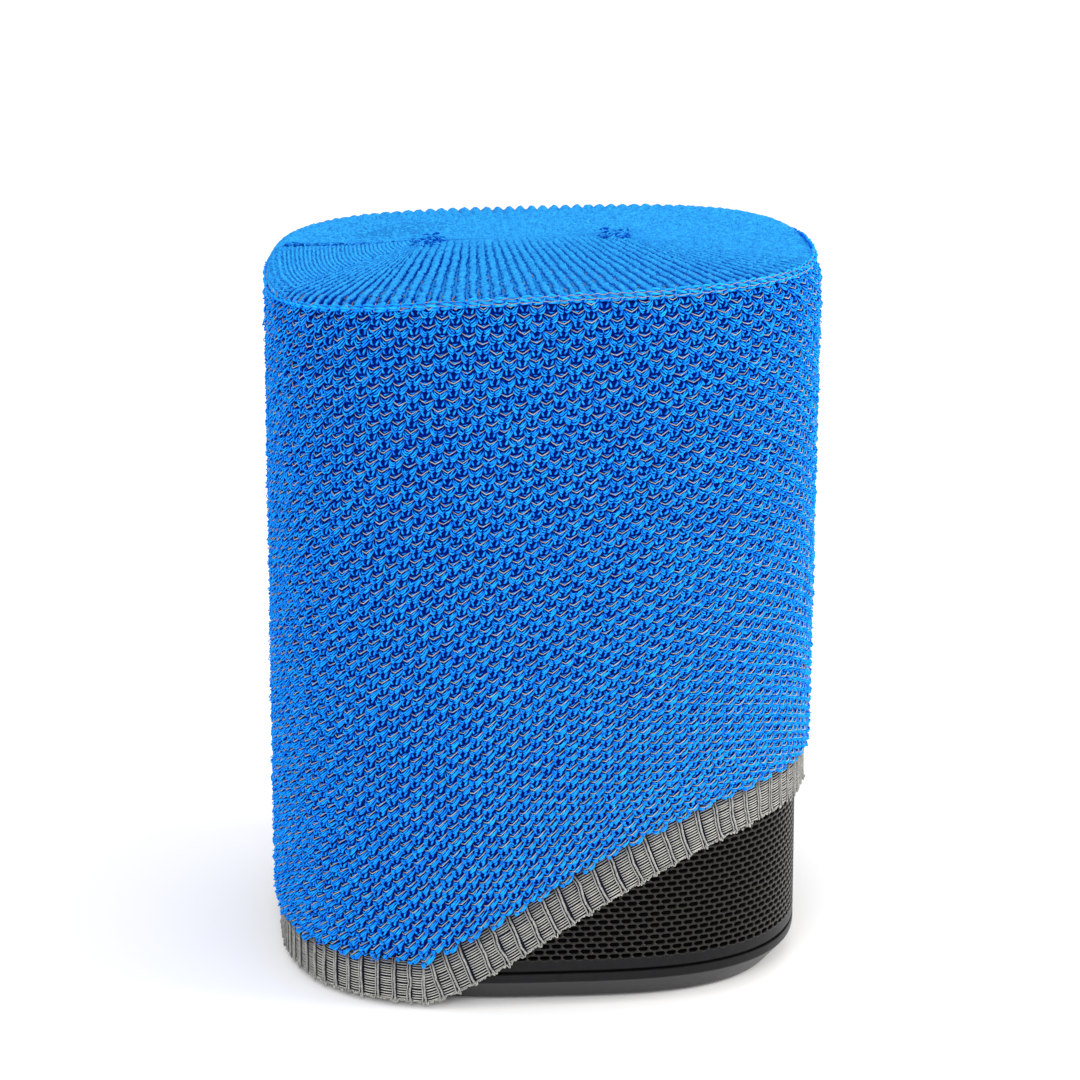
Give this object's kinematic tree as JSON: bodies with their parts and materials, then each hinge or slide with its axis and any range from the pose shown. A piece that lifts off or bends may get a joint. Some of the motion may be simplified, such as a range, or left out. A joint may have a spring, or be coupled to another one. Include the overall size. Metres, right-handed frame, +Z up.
{
  "type": "smart speaker",
  "caption": "Compact rounded-square smart speaker with a perforated grille, its drivers and electronics inside, wearing a pull-on knitted cover.",
  "frame": {"origin": "middle of the underside, on the floor", "axes": "+Z up; the front, where the drivers face, is -Y; +X is the viewer's right"},
  "size_m": [0.1276, 0.1276, 0.1652],
  "materials": {
    "knit": "bright blue chunky knit",
    "rib": "grey ribbed knit",
    "grille": "satin black, perforated",
    "housing": "satin black",
    "plastic": "moulded, matt dark grey",
    "rubber": "matt black",
    "acoustic_cloth": "black",
    "cone": "matt black",
    "silk": "coated, satin dark grey",
    "spider": "resin-coated, tan",
    "ferrite": "matt dark grey",
    "steel": "bright zinc",
    "aluminium": "satin",
    "board": "green solder mask",
    "copper": "enamelled copper wire",
    "brass": "plated",
    "light": "translucent white"
  },
  "bodies": {
    "speaker": {"grille": "grille", "base_shell": "housing", "rear_control_panel": "housing", "top_panel": "housing", "bottom_plate": "plastic", "chassis_floor": "plastic", "base_compartment_wall": "plastic", "power_inlet": "plastic", "top_frame": "plastic", "cabinet": "plastic", "front_baffle": "plastic", "tweeter_faceplate": "plastic", "tact_switch": "plastic", "terminal_block": "plastic", "foot_pad": "rubber", "baffle_gasket": "rubber", "woofer_surround": "rubber", "woofer_lead": "rubber", "tweeter_lead": "rubber", "grille_cloth": "acoustic_cloth", "woofer_spider": "spider", "touch_ribbon": "spider", "woofer_magnet": "ferrite", "transformer": "ferrite", "woofer_frame": "steel", "woofer_top_plate": "steel", "woofer_yoke": "steel", "tweeter_magnet": "steel", "processor_shield": "steel", "base_screw_1": "steel", "base_screw_2": "steel", "base_screw_3": "steel", "base_screw_4": "steel", "woofer_screw_1": "steel", "woofer_screw_2": "steel", "woofer_screw_3": "steel", "woofer_screw_4": "steel", "tweeter_screw_1": "steel", "tweeter_screw_2": "steel", "heat_sink": "aluminium", "capacitor": "aluminium", "main_board": "board", "psu_board": "board", "touch_board": "board", "button_board": "board", "antenna_left": "board", "antenna_right": "board", "inlet_pin_1": "brass", "inlet_pin_2": "brass", "microphone_1": "brass", "microphone_2": "brass", "led_light_pipe": "light"},
    "cover": {"cover_wall": "knit", "cover_top": "knit", "cover_hem": "rib"},
    "woofer_cone": {"woofer_cone": "cone", "woofer_dust_cap": "cone", "woofer_voice_coil": "copper"},
    "tweeter_dome": {"tweeter_dome": "silk"},
    "pair_button": {"pair_button": "rubber"}
  },
  "joints": [
    {"name": "cover_slide", "type": "slide", "parent": "speaker", "child": "cover", "axis": [0, 0, 1], "range_m": [0, 0.17]},
    {"name": "woofer_stroke", "type": "slide", "parent": "speaker", "child": "woofer_cone", "axis": [0, -1, 0], "range_m": [-0.0035, 0.0035], "stiffness_N_per_m": 1200, "deforming": ["woofer_surround", "woofer_spider"]},
    {"name": "tweeter_stroke", "type": "slide", "parent": "speaker", "child": "tweeter_dome", "axis": [0, -1, 0], "range_m": [-0.0003, 0.0003], "stiffness_N_per_m": 300},
    {"name": "pair_button_press", "type": "slide", "parent": "speaker", "child": "pair_button", "axis": [0, -1, 0], "range_m": [0, 0.0009], "stiffness_N_per_m": 400}
  ]
}
